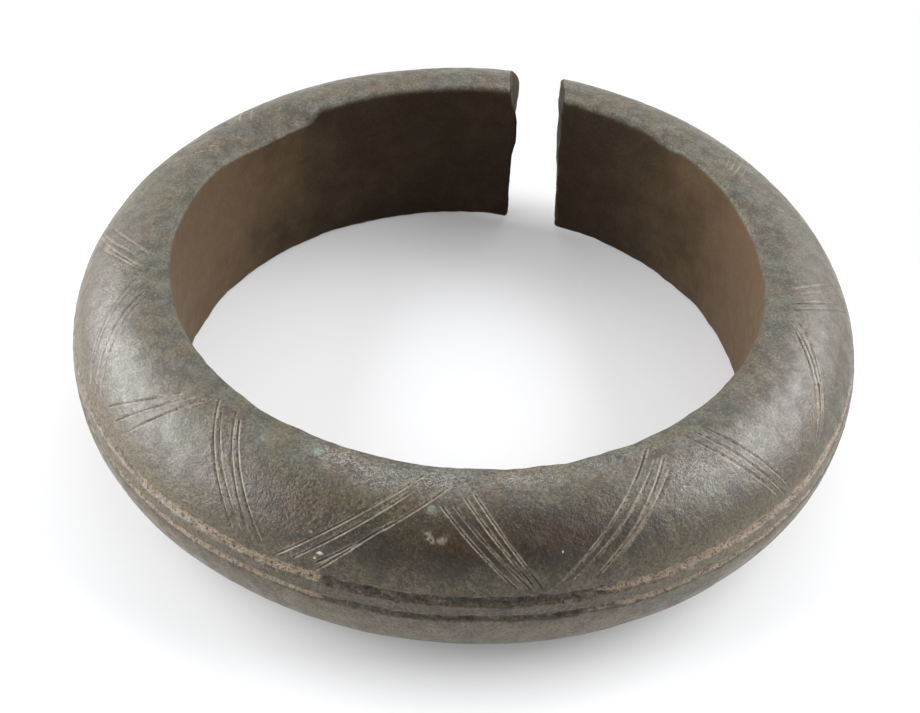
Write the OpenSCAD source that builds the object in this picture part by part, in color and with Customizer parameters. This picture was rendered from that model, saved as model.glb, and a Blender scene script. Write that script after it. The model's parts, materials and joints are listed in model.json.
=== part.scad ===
// Open currency bracelet: one solid casting of copper alloy, D-shaped in section.
// Two grooves run round its girdle, and a zigzag of cut lines covers the upper slope.
// The ring rests on the flat rim of its lower side, with the gap towards +Y.

/* [Ring] */
// Diameter of the wrist hole
wrist_hole_d = 66; // [54:0.5:90]
// Thickness from the wrist hole to the girdle
ring_thickness = 11.5; // [9:0.1:15]
// Height from the lower rim to the upper rim
ring_height = 20.2; // [17:0.1:26]
// Least width of the flat rim beside the wrist hole
rim_width = 1.4; // [1:0.1:3]
// Rounding of the wrist hole's two edges
hole_edge_radius = 0.5; // [0.2:0.1:0.8]

/* [Gap] */
// Width of the gap between the two ends
gap_width = 6.4; // [3:0.1:20]
// Slant of the gap, turned from straight out of the ring
gap_slant = 13; // [-20:1:20]

/* [Girdle grooves] */
// Height of the upper groove above the middle of the ring
upper_groove_rise = 2.5; // [1.9:0.1:3.5]
// Width of the upper groove
upper_groove_width = 1.1; // [0.6:0.1:1.6]
// Depth of the upper groove
upper_groove_depth = 0.6; // [0.3:0.1:1.2]
// Height of the lower groove above the middle of the ring
lower_groove_rise = 0.4; // [-1.5:0.1:0.6]
// Width of the lower groove
lower_groove_width = 0.9; // [0.6:0.1:1.4]
// Depth of the lower groove
lower_groove_depth = 0.5; // [0.3:0.1:1.2]

/* [Zigzag] */
// Number of slanted bands from one end of the ring to the other
band_count = 17; // [9:2:21]
// Number of lines cut in each band
lines_per_band = 4; // [2:1:5]
// Spacing of the lines in a band, measured round the ring
line_spacing = 1.3; // [0.8:0.05:1.5]
// Width of a cut line at the surface
line_width = 0.5; // [0.2:0.05:0.7]
// Depth of a cut line
line_depth = 0.3; // [0.15:0.05:0.5]
// Distance down the slope from the flat rim to the heads of the lines
line_head_margin = 0.8; // [0.5:0.1:3]
// Distance up the slope from the upper groove to the feet of the lines
line_foot_margin = 0.5; // [0.3:0.1:3]
// Bare stretch between each end of the ring and the zigzag, measured round the ring
zigzag_end_margin = 2.9; // [1:0.1:8]

/* [Hidden] */
$fn = 144;

// The outer face is one arc across the section, from rim to rim through the girdle.
hole_radius = wrist_hole_d / 2;
girdle_radius = hole_radius + ring_thickness;
half_height = ring_height / 2;
crown_rim = max(rim_width, ring_thickness - half_height);
crown_depth = ring_thickness - crown_rim;
crown_radius = (pow(crown_depth, 2) + pow(half_height, 2)) / (2 * crown_depth);
crown_centre = girdle_radius - crown_radius;

// Angles on that arc, measured up from the girdle
degrees_per_mm = 180 / (PI * crown_radius);
rim_angle = acos((hole_radius + crown_rim - crown_centre) / crown_radius);
upper_groove_angle = asin(upper_groove_rise / crown_radius);
lower_groove_angle = asin(lower_groove_rise / crown_radius);
line_head_angle = rim_angle - line_head_margin * degrees_per_mm;
line_foot_angle = upper_groove_angle + (upper_groove_width / 2 + line_foot_margin) * degrees_per_mm;
line_middle_angle = (line_head_angle + line_foot_angle) / 2;

// Angles round the ring, where the gap's middle is at gap_angle
gap_angle = 90;
zigzag_radius = crown_centre + crown_radius * cos(line_middle_angle);
turn_per_mm = 180 / (PI * zigzag_radius);
end_turn = asin(gap_width / 2 / hole_radius) + zigzag_end_margin * turn_per_mm;
band_turn = (360 - 2 * end_turn) / band_count;
line_turn = line_spacing * turn_per_mm;
slant_turn = band_turn - line_turn * lines_per_band;

overcut = 1;
casting_colour = [0.27, 0.25, 0.20];

// A point of the outer face, at an angle round the ring and an angle up the section's arc
function face_point(turn, climb) =
    let (radius = crown_centre + crown_radius * cos(climb))
    [radius * cos(turn), radius * sin(turn), half_height + crown_radius * sin(climb)];

// The centre of the circle through three points
function circle_centre(a, b, c) =
    let (ab = b - a, ac = c - a, normal = cross(ab, ac))
    a + ((ac * ac) * cross(normal, ab) + (ab * ab) * cross(ac, normal)) / (2 * normal * normal);

// Half section of the ring without its cuts, from the wrist hole to the girdle
module ring_section() {
    translate([hole_radius + hole_edge_radius, 0])
        square([crown_rim - hole_edge_radius, ring_height]);
    translate([hole_radius, hole_edge_radius])
        square([hole_edge_radius, ring_height - 2 * hole_edge_radius]);
    for (edge_z = [hole_edge_radius, ring_height - hole_edge_radius])
        translate([hole_radius + hole_edge_radius, edge_z])
            circle(r = hole_edge_radius);
    intersection() {
        translate([crown_centre, half_height])
            circle(r = crown_radius);
        translate([hole_radius + crown_rim, 0])
            square([crown_depth, ring_height]);
    }
}

// Round-bottomed groove, square to the arc of the section
module groove_section(climb, width, depth) {
    translate([crown_centre, half_height])
        rotate(climb)
            translate([crown_radius - depth + width / 2, 0]) {
                circle(d = width);
                translate([0, -width / 2])
                    square([depth + overcut, width]);
            }
}

// Solid ring with its two girdle grooves
module grooved_ring() {
    rotate_extrude()
        difference() {
            ring_section();
            groove_section(upper_groove_angle, upper_groove_width, upper_groove_depth);
            groove_section(lower_groove_angle, lower_groove_width, lower_groove_depth);
        }
}

// V-shaped cut along the outer face, on the circle through its foot, middle and head
module cut_line(foot_turn, head_turn) {
    foot = face_point(foot_turn, line_foot_angle);
    middle = face_point((foot_turn + head_turn) / 2, line_middle_angle);
    head = face_point(head_turn, line_head_angle);
    centre = circle_centre(foot, middle, head);
    radius = norm(foot - centre);
    sweep = acos((foot - centre) * (head - centre) / pow(radius, 2));
    normal = cross(middle - foot, head - foot);
    x_axis = (foot - centre) / radius;
    z_axis = normal / norm(normal);
    y_axis = cross(z_axis, x_axis);
    multmatrix([for (i = [0:2]) [x_axis[i], y_axis[i], z_axis[i], centre[i]]])
        rotate_extrude(angle = sweep)
            polygon([
                [radius - line_depth, 0],
                [radius + line_depth, line_width],
                [radius + line_depth, -line_width]
            ]);
}

// Bands of parallel lines that rise and fall by turns from one end of the ring to the other
module zigzag_cuts() {
    for (band = [0 : band_count - 1], line = [0 : lines_per_band - 1]) {
        first_turn = gap_angle + end_turn + band * band_turn + (line + 0.5) * line_turn;
        last_turn = first_turn + slant_turn;
        rising = band % 2 == 0;
        cut_line(rising ? first_turn : last_turn, rising ? last_turn : first_turn);
    }
}

// Parallel-sided gap between the two ends, slanted about its middle at the wrist hole
module gap_cut() {
    translate([0, hole_radius, -overcut])
        rotate(gap_slant)
            translate([-gap_width / 2, -hole_radius / 2])
                cube([gap_width, hole_radius / 2 + 2 * ring_thickness, ring_height + 2 * overcut]);
}

module cast_ring() {
    color(casting_colour)
        difference() {
            grooved_ring();
            gap_cut();
            zigzag_cuts();
        }
}

cast_ring();
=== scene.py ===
"""Looks of an open cast bracelet of old bronze on a white table, laid out as an add-on."""

import json
import math
import random

import bmesh
import bpy
from bpy.props import FloatProperty, FloatVectorProperty, IntProperty, PointerProperty
from mathutils import Matrix, Vector, noise


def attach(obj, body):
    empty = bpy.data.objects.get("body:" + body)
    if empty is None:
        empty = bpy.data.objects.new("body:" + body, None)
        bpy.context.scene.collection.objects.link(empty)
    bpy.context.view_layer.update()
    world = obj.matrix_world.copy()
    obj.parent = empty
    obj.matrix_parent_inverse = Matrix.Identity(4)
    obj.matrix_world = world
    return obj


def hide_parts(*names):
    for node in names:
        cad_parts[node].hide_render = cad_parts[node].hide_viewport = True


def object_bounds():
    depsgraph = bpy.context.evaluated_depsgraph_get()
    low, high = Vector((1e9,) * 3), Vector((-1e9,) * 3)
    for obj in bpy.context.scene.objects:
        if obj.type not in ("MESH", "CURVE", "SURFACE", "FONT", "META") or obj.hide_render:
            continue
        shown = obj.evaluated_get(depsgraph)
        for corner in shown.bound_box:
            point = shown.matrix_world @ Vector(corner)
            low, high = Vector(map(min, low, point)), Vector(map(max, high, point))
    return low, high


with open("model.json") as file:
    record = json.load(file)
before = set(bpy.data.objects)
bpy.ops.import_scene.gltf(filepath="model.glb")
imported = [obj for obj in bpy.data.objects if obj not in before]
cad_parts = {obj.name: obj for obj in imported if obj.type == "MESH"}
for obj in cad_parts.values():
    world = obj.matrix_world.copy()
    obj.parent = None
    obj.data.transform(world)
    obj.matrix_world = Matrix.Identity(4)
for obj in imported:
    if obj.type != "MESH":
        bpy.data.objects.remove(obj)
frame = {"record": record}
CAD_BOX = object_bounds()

bl_info = {
    "name": "Open Cast Bracelet",
    "version": (1, 0, 0),
    "blender": (4, 5, 0),
    "location": "View3D > Sidebar > Bracelet",
    "description": "Models an open bronze bracelet with scribed zigzag bands and its white studio table",
    "category": "Add Mesh",
}

MM = 0.001
UP = Vector((0, 0, 1))
WRIST_HOLE = next(m for m in frame["record"]["mounts"] if m["name"] == "wrist_hole")

# Turns are degrees round the ring from the front, positive to the right, with the gap at 180.
# Places along the section are millimetres outwards from the upper edge of the wrist hole.
# Front bands, line by line: foot turn, foot place, head turn, head place.
FRONT_BANDS = (
    (
        (-45.8, 12.0, -36.1, 4.4),
        (-43.0, 12.3, -34.0, 3.5),
        (-39.8, 12.0, -31.8, 2.6),
    ),
    (
        (-16.8, 13.2, -31.5, 2.0),
        (-15.4, 13.0, -29.6, 2.6),
        (-13.6, 13.5, -27.4, 1.9),
        (-12.3, 13.2, -25.8, 2.4),
    ),
    (
        (-10.8, 13.9, 8.2, 1.4),
        (-8.3, 13.5, 7.0, 3.4),
        (-5.3, 13.4, 12.8, 2.4),
        (-4.9, 14.0, 3.7, 7.6),
    ),
    (
        (21.9, 13.4, 10.7, 4.7),
        (23.7, 13.5, 12.7, 4.7),
        (24.2, 13.3, 14.2, 3.7),
        (25.2, 13.5, 15.7, 3.2),
    ),
    (
        (27.4, 13.0, 46.7, 1.2),
        (28.7, 13.2, 47.0, 2.7),
        (32.2, 13.0, 48.7, 2.7),
        (32.9, 12.8, 47.9, 4.5),
    ),
    (
        (62.6, 13.4, 53.2, 1.7),
        (63.7, 13.5, 55.4, 1.9),
        (65.2, 13.5, 57.2, 1.8),
    ),
    (
        (72.7, 12.2, 88.2, 3.7),
        (73.7, 12.4, 89.7, 3.6),
        (74.7, 12.2, 91.2, 3.8),
    ),
)
# The other bands: turns of the first and last line's foot, then of their heads.
OTHER_BANDS = (
    (-169.0, -163.5, -156.0, -150.5),
    (-137.0, -131.0, -149.5, -144.0),
    (-129.5, -123.5, -116.0, -111.0),
    (-97.0, -91.0, -109.5, -104.0),
    (-88.5, -83.5, -71.5, -66.5),
    (-52.5, -47.2, -66.5, -61.3),
    (103.5, 109.0, 93.0, 98.0),
    (111.0, 116.5, 124.0, 129.5),
    (143.5, 149.0, 131.0, 136.0),
    (151.0, 156.5, 164.0, 169.5),
)
# Marks on the surface: turn, place, how far they reach round and along, strength.
VERDIGRIS = (
    (9.9, 5.6, 1.3, 0.9, 1.0),
    (-10.6, 2.2, 1.1, 1.0, 1.0),
    (-19.8, 3.5, 2.2, 1.5, 0.6),
    (-33.0, 5.5, 4.5, 3.0, 0.4),
    (-46.0, 4.5, 5.0, 3.0, 0.35),
    (56.0, 3.0, 4.0, 1.6, 0.4),
)
FLECKS = (
    (-4.3, 11.9, 0.5, 0.32, 1.0),
    (-5.0, 12.5, 0.32, 0.26, 1.0),
    (-6.3, 10.1, 0.4, 0.35, 0.6),
    (28.0, 9.9, 0.3, 0.3, 0.75),
)
# One mark, the curled lump of metal at the casting flaw
FLAW = (11.1, 8.0, 0.95, 0.95, 1.1)
RUSSET = (
    (12.0, 8.3, 4.5, 2.4, 1.0),
    (29.0, 8.2, 6.0, 2.2, 1.0),
    (20.0, 8.2, 5.0, 2.0, 0.8),
    (-9.0, 7.8, 5.0, 2.6, 0.8),
    (-22.0, 9.0, 5.0, 3.0, 0.7),
    (-58.0, 12.5, 16.0, 3.0, 0.5),
    (52.0, 11.5, 9.0, 2.6, 0.5),
    (15.0, 15.4, 30.0, 2.6, 0.65),
)
# Painted shade: dark patches that darken the middle of the front slope.
PAINTED_SHADE_PATCHES = (
    (3.0, 9.8, 5.5, 3.8, 1.0),
    (15.0, 9.0, 7.0, 4.2, 1.2),
    (26.0, 8.4, 8.5, 4.6, 1.2),
    (37.0, 9.0, 5.5, 3.6, 0.9),
    (-16.0, 8.5, 4.0, 2.5, 0.5),
)
DUSTY = (
    (-48.0, 15.0, 24.0, 4.5, 1.0),
    (-85.0, 15.0, 20.0, 4.5, 0.8),
    (55.0, 15.0, 16.0, 3.5, 0.8),
)
SCUFFS_AND_HIGHLIGHT = (
    (-6.0, 2.0, 5.0, 2.0, 0.9),
    (1.0, 2.8, 5.0, 2.4, 0.9),
    (10.0, 2.2, 5.5, 2.4, 0.9),
    (25.0, 1.9, 9.0, 2.0, 0.6),
    (38.0, 1.7, 7.0, 1.8, 0.45),
    (-55.0, 8.5, 8.0, 3.0, 0.5),
    (-45.0, 10.0, 6.0, 3.0, 0.5),
    # The next two marks paint a highlight on the right slope as well as pale scratches.
    (51.0, 5.5, 7.0, 3.2, 0.65),
    (60.0, 7.0, 6.0, 3.0, 0.5),
)
# The marks that are painted on the mesh, by the name of their attribute. The dark patches are painted
# shade, and two of the pale scratch marks are partly a painted highlight.
MESH_MARKS = {
    "verdigris": VERDIGRIS,
    "flecks": FLECKS,
    "russet": RUSSET,
    "patches": PAINTED_SHADE_PATCHES,
    "dusty": DUSTY,
    "scuff_and_highlight": SCUFFS_AND_HIGHLIGHT,
}
# Worn stretches of the wrist hole's upper edge: first turn, ramp there, last turn, ramp there, depth.
WORN_EDGES = (
    (-131.5, 4.0, -98.0, 20.0, 1.55),
    (98.0, 14.0, 130.0, 10.0, 0.7),
    (144.0, 4.0, 154.0, 4.0, 0.5),
)
# Out of round: number of lobes, then millimetres of their cosine and sine, counted from a turn.
OUT_OF_ROUND = ((2, 0.20, 0.09), (3, -0.11, -0.09))
OUT_OF_ROUND_TURN = 103.2
# Worn edge of the ring's ends: steps across the end and out into the gap, in millimetres.
END_EDGE = ((0.08, 0.13), (0.12, 0.10), (0.16, 0.05), (0.20, 0.0))
# Work by hand on the other bands: number of lines, and how far their feet and heads stray.
LINES_PER_BAND = 4
STRAY_FOOT_TURN = 0.25
STRAY_HEAD_TURN = 0.35
FOOT_PLACES = (12.6, 13.7)
HEAD_PLACES = (2.0, 3.4)
# Lamps: turn, elevation, width and height in metres, power in watts.
SOFTBOXES = {
    "left_softbox": (-84, 24, 0.75, 0.5, 8.1),
    "right_softbox": (117, 32, 0.6, 0.45, 5.9),
    "back_softbox": (180, 45, 0.8, 0.5, 1.4),
}
LAMP_DISTANCE = 0.65
LAMP_AIM = Vector((0, 0, 0.01))
# The dark screen: turn, elevation, distance, width and height in metres.
SCREEN = (18, 50, 0.6, 0.85, 0.8)
# The camera turns about a point at this height, in millimetres, and looks at a point near it.
CAMERA_PIVOT = 10.12
CAMERA_AIM = (0.17, -2.81, 7.11)


def size_of(name, description, millimetres):
    """A length property whose default is given in millimetres."""
    size = millimetres * MM
    return FloatProperty(name=name, description=description, default=size, unit="LENGTH", precision=5)


def angle_of(name, description, degrees):
    """An angle property whose default is given in degrees."""
    return FloatProperty(name=name, description=description, default=math.radians(degrees), subtype="ANGLE")


def colour_of(name, description, rgb):
    """A colour property."""
    return FloatVectorProperty(
        name=name, description=description, default=rgb, size=3, min=0, max=1, subtype="COLOR"
    )


class BRACELET_PG_shape(bpy.types.PropertyGroup):
    """Sizes of the casting itself."""

    hole_radius: size_of("Hole radius", "Radius of the wrist hole", WRIST_HOLE["dims"]["r_mm"])
    girdle_radius: size_of("Girdle radius", "Largest radius of the ring", CAD_BOX[1].x / MM)
    height: size_of("Height", "Height from the lower rim to the upper rim", CAD_BOX[1].z / MM)
    edge_radius: size_of("Edge radius", "Worn rounding of the wrist hole's edges", 0.7)
    gap_width: size_of("Gap width", "Distance between the two ends", 6.4)
    gap_slant: angle_of("Gap slant", "Turn of the gap from straight out of the ring", 13)
    end_roughness: size_of("End roughness", "How far the cut ends swell and dip", 0.3)
    unevenness: size_of("Unevenness", "How far the casting swells and dips", 0.14)
    edge_waver: size_of("Edge waver", "How far the wrist hole's edges wander", 0.22)
    steps: IntProperty(name="Steps", description="Sections round the ring", default=560, min=90)


class BRACELET_PG_ornament(bpy.types.PropertyGroup):
    """Sizes of the girdle grooves and the scribed lines."""

    upper_rise: size_of("Upper groove rise", "Height of the upper groove above the middle", 2.6)
    upper_width: size_of("Upper groove width", "Width of the upper groove", 1.1)
    upper_depth: size_of("Upper groove depth", "Depth of the upper groove", 0.6)
    lower_rise: size_of("Lower groove rise", "Height of the lower groove above the middle", 0.4)
    lower_width: size_of("Lower groove width", "Width of the lower groove", 0.85)
    lower_depth: size_of("Lower groove depth", "Depth of the lower groove", 0.45)
    line_width: size_of("Line width", "Width of a scribed line", 0.29)
    line_depth: size_of("Line depth", "Depth of a scribed line", 0.14)
    line_lip: size_of("Line lip", "Height of the burr beside a scribed line", 0.035)


class BRACELET_PG_finish(bpy.types.PropertyGroup):
    """Colours of the old bronze."""

    dark: colour_of("Dark patina", "Darkest brown of the outer face", (0.020, 0.0150, 0.0080))
    brown: colour_of("Brown patina", "Brown of the outer face", (0.065, 0.042, 0.016))
    olive: colour_of("Olive patina", "Olive brown of the outer face", (0.065, 0.057, 0.020))
    slate: colour_of("Slate patina", "Grey green beside the wrist hole", (0.057, 0.060, 0.046))
    grey: colour_of("Grey patina", "Greyest patches of the outer face", (0.118, 0.110, 0.080))
    russet: colour_of("Russet", "Reddest patches of the outer face", (0.062, 0.030, 0.012))
    wall: colour_of("Wrist wall", "Warm brown inside the ring", (0.094, 0.060, 0.032))
    # Colour of both the stained patches and the painted shade at the back of the wrist wall.
    wall_stain_and_shade: colour_of("Wrist wall stains", "Dark stains inside the ring", (0.028, 0.0163, 0.0076))
    under: colour_of("Underside", "Dusty brown below the girdle", (0.150, 0.108, 0.056))
    # Dark colour at the bottom of the cuts.
    cut_dark: colour_of("Dirt", "Dirt at the bottom of the cuts", (0.042, 0.033, 0.024))
    earth: colour_of("Earth", "Dry residue in the cuts", (0.32, 0.245, 0.17))
    # Also a painted highlight: the pale colour of the burrs beside the cuts and of the flaw's ridge.
    worn: colour_of("Worn", "Burrs where the patina is rubbed", (0.26, 0.222, 0.165))
    # Also a painted highlight on the right slope.
    scuffed_and_highlit: colour_of("Scuffs", "Fine pale scratches", (0.29, 0.285, 0.27))
    verdigris: colour_of("Verdigris", "Green spots of corrosion", (0.17, 0.215, 0.18))
    fleck: colour_of("Flecks", "Pale mineral specks", (0.50, 0.48, 0.43))


class BRACELET_PG_stage(bpy.types.PropertyGroup):
    """The white table, its lamps and the camera."""

    lens: FloatProperty(name="Lens", description="Focal length of the camera", default=70, unit="CAMERA")
    turn: angle_of("Turn", "Camera's turn round the ring", 13.2)
    elevation: angle_of("Elevation", "Camera's height angle", 41.68)
    roll: angle_of("Roll", "Camera's tilt to one side", 3.19)
    distance: size_of("Distance", "Camera's distance from the ring's middle", 207.86)
    floor_size: size_of("Floor size", "Width of the white table", 6000)
    ambient: FloatProperty(name="Ambient", description="Light from all round", default=0.42)
    backdrop: FloatProperty(name="Backdrop", description="Brightness of the white room", default=1.0)


class Section:
    """Where the D-shaped section's wall, rims and crown lie."""

    def __init__(self, shape):
        self.hole = shape.hole_radius
        self.height = shape.height
        self.half = shape.height / 2
        self.crown = self.half
        self.centre = shape.girdle_radius - self.crown
        self.rim = self.centre - self.hole
        self.edge = shape.edge_radius
        self.lower_rim = self.rim + math.pi * self.crown
        self.lower_edge = self.lower_rim + self.rim

    def on_crown(self, along):
        """Radius and height of a place on the crown."""
        climb = math.pi / 2 - (along - self.rim) / self.crown
        return self.centre + self.crown * math.cos(climb), self.half + self.crown * math.sin(climb)

    def along(self, rise):
        """Place on the crown at a height above the girdle."""
        return self.rim + self.crown * math.acos(rise / self.crown)

    def crown_point(self, turn, along):
        """A point of the crown at a turn in degrees."""
        angle = math.radians(turn)
        radius, height = self.on_crown(along)
        return Vector((radius * math.sin(angle), -radius * math.cos(angle), height))

    def loop(self, ornament):
        """(radius, height, along) of the points round the section, from the middle of the wrist wall."""
        wall_step, crown_step, groove_step, under_step = 1.0 * MM, 0.42 * MM, 0.15 * MM, 0.85 * MM
        fine_wall = -4 * MM
        edge_steps = 4
        points = []
        for a in spaced(-self.half, fine_wall, wall_step) + spaced(fine_wall, -self.edge, crown_step):
            points.append((self.hole, self.height + a, a))
        for i in range(edge_steps):
            angle = math.pi / 2 * i / edge_steps
            radius = self.hole + self.edge * (1 - math.cos(angle))
            height = self.height - self.edge * (1 - math.sin(angle))
            points.append((radius, height, self.edge * (2 * i / edge_steps - 1)))
        for a in spaced(self.edge, self.rim, crown_step):
            points.append((self.hole + a, self.height, a))
        groove_top = self.along(ornament.upper_rise + ornament.upper_width)
        groove_foot = self.along(ornament.lower_rise - ornament.lower_width)
        stretches = (
            (self.rim, groove_top, crown_step),
            (groove_top, groove_foot, groove_step),
            (groove_foot, self.lower_rim, under_step),
        )
        for start, stop, step in stretches:
            for a in spaced(start, stop, step):
                points.append((*self.on_crown(a), a))
        for a in spaced(self.lower_rim, self.lower_edge - self.edge, crown_step):
            points.append((self.hole + self.lower_edge - a, 0.0, a))
        for i in range(edge_steps):
            angle = math.pi / 2 * i / edge_steps
            radius = self.hole + self.edge * (1 - math.sin(angle))
            height = self.edge * (1 - math.cos(angle))
            points.append((radius, height, self.lower_edge + self.edge * (2 * i / edge_steps - 1)))
        for a in spaced(self.edge, self.half, wall_step):
            points.append((self.hole, a, self.lower_edge + a))
        return points


def spaced(start, stop, step):
    """Values from start up to, but not with, stop, about a step apart."""
    count = max(1, round((stop - start) / step))
    return [start + (stop - start) * i / count for i in range(count)]


def turn_of(point):
    """Degrees round the ring from the front, positive to the right."""
    return math.degrees(math.atan2(point.x, -point.y))


def smooth(low, high, value):
    """0 at low, 1 at high, and an even ramp between them."""
    share = min(1.0, max(0.0, (value - low) / (high - low)))
    return share * share * (3 - 2 * share)


def spin_ring(bm, section, shape, ornament):
    """Spins the section from one end of the ring to the other and closes both ends."""
    along = bm.verts.layers.float.new("along")
    bm.verts.layers.float.new("end")
    end_angle = math.asin(shape.gap_width / 2 / section.hole)
    verts = []
    for radius, height, place in section.loop(ornament):
        vert = bm.verts.new((-radius * math.sin(end_angle), radius * math.cos(end_angle), height))
        vert[along] = place
        verts.append(vert)
    edges = [bm.edges.new(pair) for pair in zip(verts, verts[1:] + verts[:1])]
    bmesh.ops.spin(
        bm, geom=verts + edges, cent=(0, 0, 0), axis=UP, angle=2 * (math.pi - end_angle), steps=shape.steps
    )
    cut_ends(bm, section, shape, end_angle)
    for side in (-1, 1):
        rim = [e for e in bm.edges if e.is_boundary and side * turn_of(e.verts[0].co) > 0]
        close_end(bm, rim)
    bmesh.ops.recalc_face_normals(bm, faces=bm.faces)
    bm.normal_update()


def cut_ends(bm, section, shape, end_angle):
    """Turns the last degrees of the ring so that its ends lie on the sides of the slanted gap."""
    reach, rough_reach = math.radians(12), math.radians(4.5)
    for vert in bm.verts:
        angle = math.atan2(vert.co.x, vert.co.y)
        inward = abs(angle) - end_angle
        if inward >= reach:
            continue
        side = math.copysign(1, angle)
        radius, height = vert.co.xy.length, vert.co.z
        lean = section.hole * math.sin(shape.gap_slant) + side * shape.gap_width / 2
        target = math.asin(lean / radius) - shape.gap_slant
        rough = shape.end_roughness * end_swell(side, radius - section.hole, height / section.height)
        shift = (target - side * end_angle) * smooth(reach, 0, inward)
        shift -= side * rough / radius * smooth(rough_reach, 0, inward)
        vert.co.xy = radius * math.sin(angle + shift), radius * math.cos(angle + shift)


def end_swell(side, depth, rise):
    """How far a spot of an end stands out into the gap, about one at most."""
    swell = noise.noise((rise * 4.5, depth / (4 * MM), side * 7)) * 0.8
    swell += noise.noise((rise * 14, depth / (1.5 * MM), side * 3)) * 0.35
    if side < 0:
        swell += 1.7 * smooth(0.42, 0.66, rise) - 4.2 * smooth(0.74, 1.0, rise)
    else:
        swell -= 1.8 * smooth(1.0, 0.0, rise)
    return swell


def close_end(bm, rim):
    """Fills one end of the ring, with a worn edge round it and rings of faces across it."""
    end = bm.verts.layers.float["end"]
    cap = bmesh.ops.edgeloop_fill(bm, edges=rim)["faces"]
    for across, out in END_EDGE:
        bmesh.ops.inset_region(
            bm, faces=cap, thickness=across * MM, depth=out * MM, use_even_offset=True
        )
        for vert in cap[0].verts:
            vert[end] = 1.0
    middle = bmesh.ops.poke(bm, faces=cap)["verts"][0]
    middle[end] = 1.0
    bmesh.ops.subdivide_edges(bm, edges=middle.link_edges[:], cuts=7)


class ScribedLine:
    """One scribed line: a V cut that lies in the plane through its foot, middle and head."""

    def __init__(self, section, line, strength):
        foot_turn, foot_along, head_turn, head_along = line
        self.foot_along, self.head_along = foot_along * MM, head_along * MM
        foot = section.crown_point(foot_turn, self.foot_along)
        head = section.crown_point(head_turn, self.head_along)
        middle_along = (self.foot_along + self.head_along) / 2
        self.middle = section.crown_point((foot_turn + head_turn) / 2, middle_along)
        self.normal = (self.middle - foot).cross(head - foot).normalized()
        self.turns = sorted((foot_turn, head_turn))
        self.strength = strength

    def side(self, point):
        """How far a point lies to one side of the line's plane."""
        return (point - self.middle).dot(self.normal)

    def holds(self, turn, along, margin):
        """True near the line's own stretch of the crown."""
        low, high = self.turns
        spare = math.degrees(margin / self.middle.xy.length)
        level = self.head_along - margin <= along <= self.foot_along + margin
        return level and low - spare <= turn <= high + spare


def scribed_bands(section):
    """The lines of every band of the zigzag, with the small differences of work done by hand."""
    rng = random.Random(11)
    bands = list(FRONT_BANDS)
    strengths = [1.0 for band in FRONT_BANDS]
    last = LINES_PER_BAND - 1
    for foot_first, foot_last, head_first, head_last in OTHER_BANDS:
        band = []
        for i in range(LINES_PER_BAND):
            foot_turn = foot_first + (foot_last - foot_first) * i / last
            foot_turn += rng.uniform(-STRAY_FOOT_TURN, STRAY_FOOT_TURN)
            head_turn = head_first + (head_last - head_first) * i / last
            head_turn += rng.uniform(-STRAY_HEAD_TURN, STRAY_HEAD_TURN)
            band.append((foot_turn, rng.uniform(*FOOT_PLACES), head_turn, rng.uniform(*HEAD_PLACES)))
        bands.append(band)
        # The lines are fainter away from the front.
        strengths.append(0.6 if abs(foot_first) < 105 else 0.4)
    return [
        [ScribedLine(section, line, rng.uniform(0.7, 1.1) * strength) for line in band]
        for band, strength in zip(bands, strengths)
    ]


def scribe(bm, section, ornament, bands):
    """Cuts edges along each line, so that the carving has vertices to move."""
    along = bm.verts.layers.float["along"]
    offsets = [share * ornament.line_width for share in (-1.1, -0.5, 0, 0.5, 1.1)]
    spare_turn, reach, margin, weld = 3, 1.4 * MM, 0.5 * MM, 0.01 * MM
    girdle = section.along(0)
    slopes = [[] for band in bands]
    spans = []
    for band in bands:
        first = min(line.turns[0] for line in band)
        last = max(line.turns[1] for line in band)
        spans.append((first - spare_turn, last + spare_turn))
    for face in bm.faces:
        vert = face.verts[0]
        if 0 < vert[along] < girdle:
            turn = turn_of(vert.co)
            for slope, (low, high) in zip(slopes, spans):
                if low < turn < high:
                    slope.append(face)
    # Dictionaries keep the parts in one order, so that every run gives the same mesh. Sets wouldn't.
    for band, slope in zip(bands, slopes):
        near = dict.fromkeys(slope)
        for line in band:
            faces = []
            for face in near:
                if face.is_valid:
                    vert = face.verts[0]
                    if abs(line.side(vert.co)) < reach:
                        if line.holds(turn_of(vert.co), vert[along], margin):
                            faces.append(face)
            for offset in offsets:
                parts = dict.fromkeys(part for face in faces for part in (*face.edges, *face.verts))
                cut = bmesh.ops.bisect_plane(
                    bm,
                    geom=faces + list(parts),
                    dist=weld,
                    plane_co=line.middle + line.normal * offset,
                    plane_no=line.normal,
                )
                faces = [g for g in cut["geom"] if isinstance(g, bmesh.types.BMFace)]
                near.update(dict.fromkeys(faces))
    bm.normal_update()


def refine(bm, section, marks):
    """Splits the faces under small marks, so that their outlines can be modelled."""
    for turn, along, wide, tall, strength in marks:
        middle = section.crown_point(turn, along * MM)
        reach = 1.6 * max(wide, tall) * MM
        edges = [e for e in bm.edges if (e.verts[0].co - middle).length < reach]
        bmesh.ops.subdivide_edges(bm, edges=edges, cuts=2, use_grid_fill=True)
    bm.normal_update()


def cover(place, turn, marks, section):
    """How strongly marks cover a spot: their strength in the middle, none at the edge, -1 far outside."""
    most = -1.0
    for mark_turn, mark_place, wide, tall, strength in marks:
        across = math.radians(turn - mark_turn) * section.centre / (wide * MM)
        up = (place - mark_place * MM) / (tall * MM)
        most = max(most, strength * (1 - math.hypot(across, up)))
    return most


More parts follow.
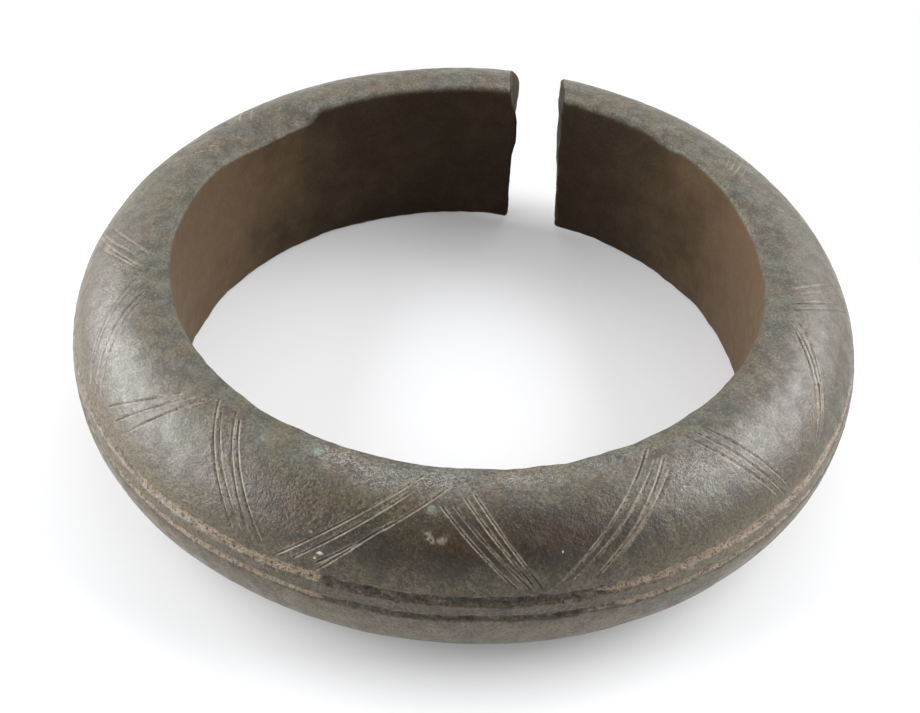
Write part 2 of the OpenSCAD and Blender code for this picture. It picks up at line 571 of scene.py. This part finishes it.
def crescent(place, turn, section):
    """Height of the curled lump of metal at the casting flaw, from a little under none to one."""
    flaw_turn, flaw_place, wide, tall, strength = FLAW
    across = math.radians(turn - flaw_turn) * section.centre / (wide * MM)
    down = (place - flaw_place * MM) / (tall * MM)
    away = math.hypot(across, down)
    if away > 2:
        return 0.0
    away += 0.3 * noise.noise((across * 2.2, down * 2.2, 3.5))
    curl = smooth(-0.6, 0.5, math.cos(math.atan2(down, across) - math.radians(110)))
    crumbs = 0.75 + 0.9 * noise.noise((across * 3.5, down * 3.5, 8.5))
    ridge = curl * crumbs * math.exp(-(((away - 0.7) / 0.32) ** 2))
    return strength * (ridge - 0.3 * math.exp(-((away / 0.4) ** 2)))


def carve(bm, section, shape, ornament, bands):
    """Moves the vertices: swells of the casting, girdle grooves, scribed lines and crusts."""
    floats = bm.verts.layers.float
    for name in ("cut", "lip", "inside", "earth", *MESH_MARKS):
        floats.new(name)
    layers = {name: floats[name] for name in floats.keys()}
    lines = lines_by_degree(bands)
    grooves = (
        (section.along(ornament.upper_rise), ornament.upper_width / 2, ornament.upper_depth, 3.1),
        (section.along(ornament.lower_rise), ornament.lower_width / 2, ornament.lower_depth, 7.7),
    )
    girdle = section.along(0)
    moves = []
    for vert in bm.verts:
        place = vert[layers["along"]]
        turn = turn_of(vert.co)
        on_end = vert[layers["end"]] > 0
        sloping = 0 < place < girdle and not on_end
        swell = noise.noise(vert.co / (11 * MM)) * 0.7 + noise.noise(vert.co / (4 * MM)) * 0.3
        move = shape.unevenness * swell + 0.02 * MM * noise.noise(vert.co / (1.1 * MM))
        for name, marks in MESH_MARKS.items():
            vert[layers[name]] = cover(place, turn, marks, section) if sloping else -1.0
        if sloping:
            for line in lines[math.floor(turn)]:
                if line.holds(turn, place, 0):
                    scratch(vert, place, line, ornament, layers)
            move += slope_move(vert, turn, place, section, ornament, layers)
        if on_end:
            vert[layers["inside"]] = 1.0
            move += 0.12 * MM * noise.noise(vert.co / (1.5 * MM))
        else:
            vert[layers["inside"]] = wall_share(place, section)
            for groove in grooves:
                move += groove_move(vert, turn, place, groove, layers)
        moves.append(move)
    normals = [vert.normal.copy() for vert in bm.verts]
    for vert, normal, move in zip(bm.verts, normals, moves):
        vert.co += normal * move


def lines_by_degree(bands):
    """The lines that cross each whole degree round the ring, with negative degrees from the list's end."""
    lines = [[] for degree in range(360)]
    for line in (line for band in bands for line in band):
        for degree in range(math.floor(line.turns[0]), math.ceil(line.turns[1])):
            lines[degree].append(line)
    return lines


def wall_share(place, section):
    """One on the wall of the wrist hole, none outside it, with a soft change at its edges."""
    if place < section.half:
        return smooth(0.3 * MM, -0.9 * MM, place)
    return smooth(section.lower_edge - 0.9 * MM, section.lower_edge + 0.4 * MM, place)


def slope_move(vert, turn, place, section, ornament, layers):
    """How far the lines, the flecks and the flaw move a vertex of the upper slope."""
    lip = layers["lip"]
    move = vert[lip] * ornament.line_lip - vert[layers["cut"]] * ornament.line_depth
    move += 0.05 * MM * max(0.0, vert[layers["flecks"]])
    scar = crescent(place, turn, section)
    # The flaw's ridge takes the pale burr colour, partly a painted highlight.
    vert[lip] = max(vert[lip], scar)
    vert[layers["earth"]] = 0.5 + 0.8 * noise.noise(vert.co / (4 * MM))
    return move + 0.16 * MM * scar


def groove_move(vert, turn, place, groove, layers):
    """How far a ragged girdle groove lowers a vertex, or its burr lifts it."""
    centre, half, depth, seed = groove
    wander = 0.16 * noise.noise((turn / 9, seed, 0)) + 0.06 * noise.noise((turn / 2.2, seed, 5))
    width = half * (1 + 0.4 * noise.noise((turn / 1.3, seed, 9)))
    width += 0.3 * half * noise.noise((turn / 0.5, seed, place / (0.6 * MM)))
    share = abs(place - centre - wander * MM) / width
    if share < 1:
        ragged = 0.85 + 0.8 * noise.noise((turn / 0.8, seed, place / (0.4 * MM)))
        level = (1 - share * share) ** 0.6 * ragged
        # Earth is missing on a stretch at the front, and the groove is shallow and emptier on the left.
        crust = noise.noise((turn / 1.6, seed, place / (0.5 * MM)))
        left = smooth(-24, -44, turn)
        fill = 1 - 0.7 * smooth(-4.6, -2.8, turn + crust) * smooth(36, 31, turn + 3 * crust)
        fill += 0.35 * crust - 0.4 * left
        vert[layers["cut"]] = max(vert[layers["cut"]], level)
        vert[layers["earth"]] = fill
        return -depth * level * (1 - 0.35 * fill) * (1 - 0.35 * left)
    if share < 1.7:
        burr = (1 - (share - 1) / 0.7) * (0.5 + noise.noise((turn / 1.2, seed, place / MM)))
        vert[layers["lip"]] = max(vert[layers["lip"]], 0.7 * burr)
        return 0.05 * MM * burr
    return 0.0


def scratch(vert, place, line, ornament, layers):
    """Marks how deep a line cuts a vertex, or how far its burr lifts it."""
    cut, lip = layers["cut"], layers["lip"]
    share = abs(line.side(vert.co)) / (ornament.line_width / 2)
    if share > 2.4:
        return
    run = (place - line.head_along) / (line.foot_along - line.head_along)
    taper = smooth(0, 0.06, run) * smooth(1, 0.95, run)
    ragged = 1 + 0.5 * noise.noise(vert.co / (2.2 * MM) + line.normal * 9)
    vert[cut] = max(vert[cut], line.strength * taper * ragged * max(0.0, 1 - share))
    if share >= 0.95:
        burr = line.strength * taper * max(0.0, 1 - abs(share - 1.2))
        broken = 0.8 + 0.8 * noise.noise(vert.co / (1.6 * MM) + line.normal * 5)
        vert[lip] = max(vert[lip], burr * broken)


def bend_ring(bm, section, shape):
    """Sets the ring slightly out of round and lets the wrist hole's edges wander."""
    along = bm.verts.layers.float["along"]
    edges = ((0.0, 2.5), (section.lower_edge, 8.5))
    for vert in bm.verts:
        radius = vert.co.xy.length
        turn = turn_of(vert.co)
        angle = math.radians(turn - OUT_OF_ROUND_TURN)
        out = 0.0
        for lobes, even, odd in OUT_OF_ROUND:
            out += MM * (even * math.cos(lobes * angle) + odd * math.sin(lobes * angle))
        for edge, seed in edges:
            near = max(0.0, 1 - abs(vert[along] - edge) / (2.2 * MM))
            waver = noise.noise((turn / 7, seed, 0)) + 0.5 * noise.noise((turn / 2.5, seed, 4))
            out += shape.edge_waver * waver * near * near
        vert.co.xy *= (radius + out) / radius
        vert.co.z = max(vert.co.z - worn_away(turn, vert[along]), 0.0)


def worn_away(turn, along):
    """How far wear has lowered a spot near the wrist hole's upper edge."""
    if along > 0:
        near = smooth(4.6 * MM, -0.8 * MM, along)
    else:
        near = max(0.0, 1 + along / (4 * MM)) ** 1.5
    most = 0.0
    for first, ramp_in, last, ramp_out, depth in WORN_EDGES:
        share = smooth(first, first + ramp_in, turn) * smooth(last, last - ramp_out, turn)
        most = max(most, depth * MM * share)
    return most * near


def lay_out(bm, section):
    """Lays the surface out flat: round the ring across, along the section up, both in metres."""
    along = bm.verts.layers.float["along"]
    layer = bm.loops.layers.uv.new("ring_uv")
    for face in bm.faces:
        for loop in face.loops:
            turn = math.radians(turn_of(loop.vert.co))
            loop[layer].uv = turn * section.centre, loop.vert[along]


class BRACELET_OT_cast_ring(bpy.types.Operator):
    """Model the cast ring with its grooves and scribed zigzag"""

    bl_idname = "bracelet.cast_ring"
    bl_label = "Cast Ring"

    def execute(self, context):
        shape = context.scene.bracelet_shape
        ornament = context.scene.bracelet_ornament
        section = Section(shape)
        bands = scribed_bands(section)
        bm = bmesh.new()
        spin_ring(bm, section, shape, ornament)
        scribe(bm, section, ornament, bands)
        refine(bm, section, (*FLECKS, FLAW))
        carve(bm, section, shape, ornament, bands)
        bend_ring(bm, section, shape)
        lay_out(bm, section)
        bmesh.ops.triangulate(bm, faces=[f for f in bm.faces if len(f.verts) > 4])
        for face in bm.faces:
            face.smooth = True
        mesh = bpy.data.meshes.new("bronze_ring")
        bm.to_mesh(mesh)
        bm.free()
        ring = bpy.data.objects.new("bronze_ring", mesh)
        context.scene.collection.objects.link(ring)
        mesh.materials.append(old_bronze(context.scene.bracelet_finish))
        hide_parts("cast_ring")
        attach(ring, "root")
        return {"FINISHED"}


class NodeTree:
    """Adds nodes to a material or world with their values and links in one call."""

    def __init__(self, owner):
        owner.use_nodes = True
        self.tree = owner.node_tree
        self.tree.nodes.clear()

    def put(self, node, key, value):
        """Sets a socket of a node, or links another node's output to it."""
        if isinstance(value, bpy.types.NodeSocket):
            self.tree.links.new(value, node.inputs[key])
        else:
            node.inputs[key].default_value = value

    def add(self, kind, inputs=None, **settings):
        """A new node. Inputs map a socket's name or number to a value or to another node's output."""
        node = self.tree.nodes.new(kind)
        for key, value in settings.items():
            setattr(node, key, value)
        for key, value in (inputs or {}).items():
            self.put(node, key, value)
        return node

    def attribute(self, name):
        """A value painted on the mesh."""
        return self.add("ShaderNodeAttribute", attribute_name=name).outputs["Fac"]

    def cloud(self, vector, size, detail=4.0, rough=0.55):
        """Even noise whose patches are about a size in millimetres."""
        inputs = {"Vector": vector, "Scale": 1 / (size * MM), "Detail": detail, "Roughness": rough}
        return self.add("ShaderNodeTexNoise", inputs).outputs["Fac"]

    def ramp(self, value, low, high, top=1.0):
        """0 at low, top at high, smooth between them."""
        inputs = {"Value": value, "From Min": low, "From Max": high, "To Max": top}
        return self.add("ShaderNodeMapRange", inputs, interpolation_type="SMOOTHSTEP").outputs["Result"]

    def math(self, operation, a, b):
        """Two values put together."""
        return self.add("ShaderNodeMath", {0: a, 1: b}, operation=operation).outputs["Value"]

    def mix(self, share, a, b):
        """Two colours mixed by a share."""
        colours = [v if isinstance(v, bpy.types.NodeSocket) else (*v, 1) for v in (a, b)]
        inputs = {0: share, 6: colours[0], 7: colours[1]}
        return self.add("ShaderNodeMix", inputs, data_type="RGBA").outputs[2]

    def matt(self, colour):
        """A matt surface of one colour."""
        inputs = {"Base Color": (*colour, 1), "Roughness": 0.8}
        return self.add("ShaderNodeBsdfPrincipled", inputs).outputs["BSDF"]


class BronzeNodes(NodeTree):
    """The old bronze: noises and attributes that its parts share, and a method for each part."""

    def __init__(self, material, finish):
        super().__init__(material)
        self.finish = finish
        self.place = self.add("ShaderNodeTexCoord").outputs["Object"]
        self.along = self.attribute("along")
        self.cut = self.attribute("cut")
        self.inside = self.attribute("inside")
        self.patches = self.cloud(self.place, 7.0, 5.0, 0.6)
        self.mottle = self.cloud(self.place, 1.8, 6.0, 0.65)
        self.grain = self.cloud(self.place, 0.32, 3.0, 0.8)
        self.speckle = self.cloud(self.place, 0.5, 2.0, 0.6)
        # Painted shade: the mask of the dark patches on the front slope.
        self.shade = self.ramp(self.broken("patches", self.mottle, 1.4), 0.6, 1.5, 0.9)

    def times(self, a, b):
        """Two values multiplied."""
        return self.math("MULTIPLY", a, b)

    def broken(self, name, texture, amount):
        """A painted mark whose outline a texture breaks up."""
        return self.math("ADD", self.attribute(name), self.times(texture, amount))

    def patina(self):
        """The outer face: brown and olive, grey green near the wrist hole, with russet patches, and dark
        patches that are painted shade on the front slope.
        """
        finish = self.finish
        colour = self.mix(self.ramp(self.patches, 0.40, 0.60), finish.brown, finish.olive)
        cool = self.ramp(self.cloud(self.place, 3.5, 5.0, 0.65), 0.40, 0.58, 0.7)
        cool = self.times(cool, self.ramp(self.along, 7.5 * MM, 2.0 * MM))
        colour = self.mix(cool, colour, finish.slate)
        colour = self.mix(self.ramp(self.mottle, 0.48, 0.64, 0.75), colour, finish.dark)
        colour = self.mix(self.ramp(self.mottle, 0.48, 0.33, 0.5), colour, finish.grey)
        # Painted shade from the dark patches.
        colour = self.mix(self.shade, colour, finish.dark)
        rusty = self.ramp(self.broken("russet", self.patches, 1.6), 0.8, 1.6, 0.65)
        colour = self.mix(rusty, colour, finish.russet)
        return self.mix(self.dusted(), colour, finish.under)

    def dusted(self):
        """How much dust lies below the girdle and on the dusty marks."""
        below = self.ramp(self.along, 17.0 * MM, 19.5 * MM, 0.9)
        below = self.times(below, self.math("ADD", self.ramp(self.patches, 0.62, 0.38, 0.65), 0.35))
        marks = self.ramp(self.broken("dusty", self.mottle, 1.4), 0.6, 1.5, 0.7)
        return self.math("MAXIMUM", below, marks)

    def wrist_wall(self):
        """The wall of the wrist hole, stained in patches, and darker towards the back by the gap: painted
        shade.
        """
        inputs = {0: self.place, 1: (-0.2, 0.95, 0)}
        depth = self.add("ShaderNodeVectorMath", inputs, operation="DOT_PRODUCT").outputs["Value"]
        # Painted shade: darker towards the back of the wall; a noise adds stained patches.
        stains_and_shade = self.math("ADD", self.times(self.patches, 1.3), self.ramp(depth, 6 * MM, 34 * MM))
        return self.mix(self.ramp(stains_and_shade, 0.66, 1.7), self.finish.wall, self.finish.wall_stain_and_shade)

    def fill_cuts(self, colour):
        """A dark colour at the bottom of the cuts, dry earth on it here and there, and pale burrs beside
        them: worn metal, partly a painted highlight.
        """
        # Darker at the bottom of the cuts.
        colour = self.mix(self.ramp(self.cut, 0.05, 0.5, 0.8), colour, self.finish.cut_dark)
        crumbs = self.math("ADD", self.times(self.speckle, 1.5), self.grain)
        crumbs = self.ramp(self.math("ADD", self.attribute("earth"), crumbs), 1.5, 2.4, 0.95)
        dry = self.times(self.ramp(self.cut, 0.1, 0.45), crumbs)
        colour = self.mix(dry, colour, self.finish.earth)
        # Pale burrs beside the cuts and on the flaw's ridge: worn metal, partly a painted highlight.
        rubbed_and_highlit = self.ramp(self.broken("lip", self.grain, 0.8), 0.55, 1.2, 0.8)
        return self.mix(rubbed_and_highlit, colour, self.finish.worn)

    def wear(self, colour):
        """Fine dark and pale grain, weaker on the wall of the wrist hole and in the painted shade of the
        dark patches, and pale scratches, partly a painted highlight.
        """
        outer = self.math("SUBTRACT", 1.0, self.times(self.inside, 0.85))
        pits = self.times(self.ramp(self.grain, 0.49, 0.62, 0.95), outer)
        colour = self.mix(pits, colour, self.finish.dark)
        # Less pale grain in the painted shade, so the dark patches stay dark.
        outer = self.times(outer, self.math("SUBTRACT", 1.0, self.times(self.shade, 0.7)))
        dust = self.times(self.ramp(self.grain, 0.47, 0.34, 0.75), outer)
        colour = self.mix(dust, colour, self.finish.grey)
        # Pale scratches; on the right slope partly a painted highlight.
        scuff_and_highlight = self.ramp(self.broken("scuff_and_highlight", self.speckle, 1.0), 0.35, 1.4)
        return self.mix(self.times(scuff_and_highlight, self.scratches()), colour, self.finish.scuffed_and_highlit)

    def scratches(self):
        """Short thin scratches in four directions, one where there is a scratch."""
        flat = self.add("ShaderNodeUVMap", uv_map="ring_uv").outputs["UV"]
        total = 0.0
        for angle, length in ((20, 0.9), (65, 0.7), (112, 0.8), (158, 1.1)):
            inputs = {"Vector": flat, "Rotation": (0, 0, math.radians(angle)), "Scale": (length, 0.09, 1)}
            turned = self.add("ShaderNodeMapping", inputs, vector_type="TEXTURE").outputs["Vector"]
            streak = self.ramp(self.cloud(turned, 1.0, 1.0), 0.58, 0.70)
            total = self.math("MAXIMUM", total, streak)
        return total

    def corrode(self, colour):
        """Green verdigris and pale mineral flecks."""
        ragged = self.math("ADD", self.times(self.speckle, 1.4), self.times(self.grain, 1.2))
        green = self.ramp(self.math("ADD", self.attribute("verdigris"), ragged), 1.6, 2.3, 0.85)
        colour = self.mix(green, colour, self.finish.verdigris)
        pale = self.ramp(self.broken("flecks", self.grain, 1.6), 1.1, 1.5)
        return self.mix(pale, colour, self.finish.fleck)

    def roughness(self):
        """Rougher in the cuts, on the wall of the wrist hole and on the rim beside it."""
        in_cuts = self.ramp(self.cut, 0.1, 0.6, 0.35)
        rough = self.math("ADD", self.ramp(self.mottle, 0.36, 0.64, 0.16), in_cuts)
        rim = self.ramp(self.along, 6.0 * MM, 2.0 * MM, 0.24)
        dull = self.math("MAXIMUM", self.ramp(self.inside, 0, 1, 0.26), rim)
        return self.math("ADD", rough, self.math("ADD", dull, 0.29))


def old_bronze(finish):
    """Patinated bronze: mottled olive brown with painted shade in dark patches, earth in the cuts, worn
    pale edges that are partly a painted highlight.
    """
    material = bpy.data.materials.new("old_bronze")
    nodes = BronzeNodes(material, finish)
    colour = nodes.mix(nodes.inside, nodes.patina(), nodes.wrist_wall())
    colour = nodes.corrode(nodes.wear(nodes.fill_cuts(colour)))
    height = nodes.math("ADD", nodes.times(nodes.mottle, 2.2), nodes.grain)
    bump = nodes.add("ShaderNodeBump", {"Strength": 1.0, "Distance": 0.06 * MM, "Height": height})
    inputs = {
        "Base Color": colour,
        "Roughness": nodes.roughness(),
        "IOR": 1.5,
        "Specular IOR Level": nodes.math("SUBTRACT", 0.65, nodes.ramp(nodes.inside, 0, 1, 0.5)),
        "Normal": bump.outputs["Normal"],
    }
    shader = nodes.add("ShaderNodeBsdfPrincipled", inputs)
    nodes.add("ShaderNodeOutputMaterial", {"Surface": shader.outputs["BSDF"]})
    return material


def toward(turn, elevation):
    """Direction from the ring at a turn from the front and an elevation, both in radians."""
    level = math.cos(elevation)
    return Vector((level * math.sin(turn), -level * math.cos(turn), math.sin(elevation)))


def facing(place, target):
    """Placement of something at a place that looks at a target along its own -Z."""
    look = (target - place).to_track_quat("-Z", "Y").to_matrix().to_4x4()
    return Matrix.Translation(place) @ look


def softbox(name, turn, elevation, width, height, power):
    """A large soft lamp that faces the ring and stays out of the camera's view."""
    lamp = bpy.data.lights.new(name, "AREA")
    lamp.shape = "RECTANGLE"
    lamp.size, lamp.size_y, lamp.energy = width, height, power
    holder = bpy.data.objects.new(name, lamp)
    place = toward(math.radians(turn), math.radians(elevation)) * LAMP_DISTANCE
    holder.matrix_world = facing(place, LAMP_AIM)
    holder.visible_camera = False
    bpy.context.scene.collection.objects.link(holder)


def card(name, width, height, place, material):
    """A flat sheet that belongs to the stage."""
    bm = bmesh.new()
    bmesh.ops.create_grid(bm, x_segments=1, y_segments=1, size=0.5)
    bmesh.ops.scale(bm, vec=(width, height, 1), verts=bm.verts)
    bmesh.ops.transform(bm, matrix=place, verts=bm.verts)
    mesh = bpy.data.meshes.new(name)
    bm.to_mesh(mesh)
    bm.free()
    piece = bpy.data.objects.new(name, mesh)
    bpy.context.scene.collection.objects.link(piece)
    mesh.materials.append(material)
    return piece


def plain_paint(name, colour):
    """A matt material of one colour."""
    material = bpy.data.materials.new(name)
    nodes = NodeTree(material)
    nodes.add("ShaderNodeOutputMaterial", {"Surface": nodes.matt(colour)})
    return material


def shown_plainly(nodes):
    """One for the rays that show a surface: straight, mirrored or seen through something."""
    path = nodes.add("ShaderNodeLightPath").outputs
    shown = nodes.math("MAXIMUM", path["Is Camera Ray"], path["Is Glossy Ray"])
    return nodes.math("MAXIMUM", shown, path["Is Transmission Ray"])


def glowing_white_paint(name, colour):
    """Paint that passes into the white of the room away from the ring and behind it, for the rays that show
    it: painted light, a glow that also lifts the ring's shadow on the floor.
    """
    material = bpy.data.materials.new(name)
    nodes = NodeTree(material)
    place = nodes.add("ShaderNodeTexCoord").outputs["Object"]
    middle = {0: place, 1: (0, -14 * MM, 0)}
    away = nodes.add("ShaderNodeVectorMath", middle, operation="DISTANCE").outputs["Value"]
    levels = {"Value": away, "From Min": 46 * MM, "From Max": 88 * MM, "To Min": 0.15}
    share = nodes.add("ShaderNodeMapRange", levels, interpolation_type="SMOOTHSTEP").outputs["Result"]
    behind = nodes.add("ShaderNodeSeparateXYZ", {"Vector": place}).outputs["Y"]
    # Painted light: white behind the ring, also over its shadow in the gap.
    share = nodes.math("MAXIMUM", share, nodes.ramp(behind, 28 * MM, 42 * MM))
    share = nodes.math("MULTIPLY", share, shown_plainly(nodes))
    white = nodes.add("ShaderNodeEmission", {"Color": (1, 1, 1, 1), "Strength": 1.0})
    inputs = {0: share, 1: nodes.matt(colour), 2: white.outputs["Emission"]}
    surface = nodes.add("ShaderNodeMixShader", inputs).outputs["Shader"]
    nodes.add("ShaderNodeOutputMaterial", {"Surface": surface})
    return material


class BRACELET_OT_stage(bpy.types.Operator):
    """Set the white table, the soft lamps and the camera"""

    bl_idname = "bracelet.stage"
    bl_label = "White Table"

    def execute(self, context):
        stage = context.scene.bracelet_stage
        white = glowing_white_paint("white_table", (0.855, 0.865, 0.885))
        card("white_table", stage.floor_size, stage.floor_size, Matrix(), white)
        self.screen()
        self.light(context.scene, stage)
        self.camera(context.scene, stage)
        context.scene.view_settings.view_transform = "Standard"
        return {"FINISHED"}

    def screen(self):
        """A dark screen that only the ring's reflections show."""
        turn, elevation, distance, width, height = SCREEN
        place = toward(math.radians(turn), math.radians(elevation)) * distance
        black = plain_paint("dark_screen", (0.02, 0.02, 0.02))
        screen = card("dark_screen", width, height, facing(place, LAMP_AIM), black)
        screen.visible_camera = False
        screen.visible_diffuse = False

    def light(self, scene, stage):
        """The soft lamps, and a white room that is brighter to look at than it shines."""
        for name, settings in SOFTBOXES.items():
            softbox(name, *settings)
        world = bpy.data.worlds.new("white_room")
        nodes = NodeTree(world)
        levels = {"Value": shown_plainly(nodes), "To Min": stage.ambient, "To Max": stage.backdrop}
        strength = nodes.add("ShaderNodeMapRange", levels).outputs["Result"]
        room = nodes.add("ShaderNodeBackground", {"Color": (1, 1, 1, 1), "Strength": strength})
        nodes.add("ShaderNodeOutputWorld", {"Surface": room.outputs["Background"]})
        scene.world = world

    def camera(self, scene, stage):
        """The camera of the photo."""
        lens = bpy.data.cameras.new("camera")
        lens.lens = stage.lens
        lens.clip_start, lens.clip_end = 0.01, 20
        camera = bpy.data.objects.new("camera", lens)
        pivot = Vector((0, 0, CAMERA_PIVOT * MM))
        place = pivot + toward(stage.turn, stage.elevation) * stage.distance
        aim = Vector(CAMERA_AIM) * MM
        camera.matrix_world = facing(place, aim) @ Matrix.Rotation(stage.roll, 4, "Z")
        scene.collection.objects.link(camera)
        scene.camera = camera


class BRACELET_PT_sidebar(bpy.types.Panel):
    """The bracelet's settings and its steps"""

    bl_label = "Open Cast Bracelet"
    bl_idname = "BRACELET_PT_sidebar"
    bl_space_type = "VIEW_3D"
    bl_region_type = "UI"
    bl_category = "Bracelet"

    def draw(self, context):
        for group in SETTINGS:
            box = self.layout.box()
            settings = getattr(context.scene, group)
            for name in settings.__annotations__:
                box.prop(settings, name)
        for operator in (BRACELET_OT_cast_ring, BRACELET_OT_stage):
            self.layout.operator(operator.bl_idname)


SETTINGS = {
    "bracelet_shape": BRACELET_PG_shape,
    "bracelet_ornament": BRACELET_PG_ornament,
    "bracelet_finish": BRACELET_PG_finish,
    "bracelet_stage": BRACELET_PG_stage,
}
CLASSES = (*SETTINGS.values(), BRACELET_OT_cast_ring, BRACELET_OT_stage, BRACELET_PT_sidebar)


def register():
    for cls in CLASSES:
        bpy.utils.register_class(cls)
    for name, group in SETTINGS.items():
        setattr(bpy.types.Scene, name, PointerProperty(type=group))


def unregister():
    for name in SETTINGS:
        delattr(bpy.types.Scene, name)
    for cls in reversed(CLASSES):
        bpy.utils.unregister_class(cls)


def main():
    register()
    bpy.ops.bracelet.cast_ring()
    bpy.ops.bracelet.stage()


if __name__ == "__main__":
    main()
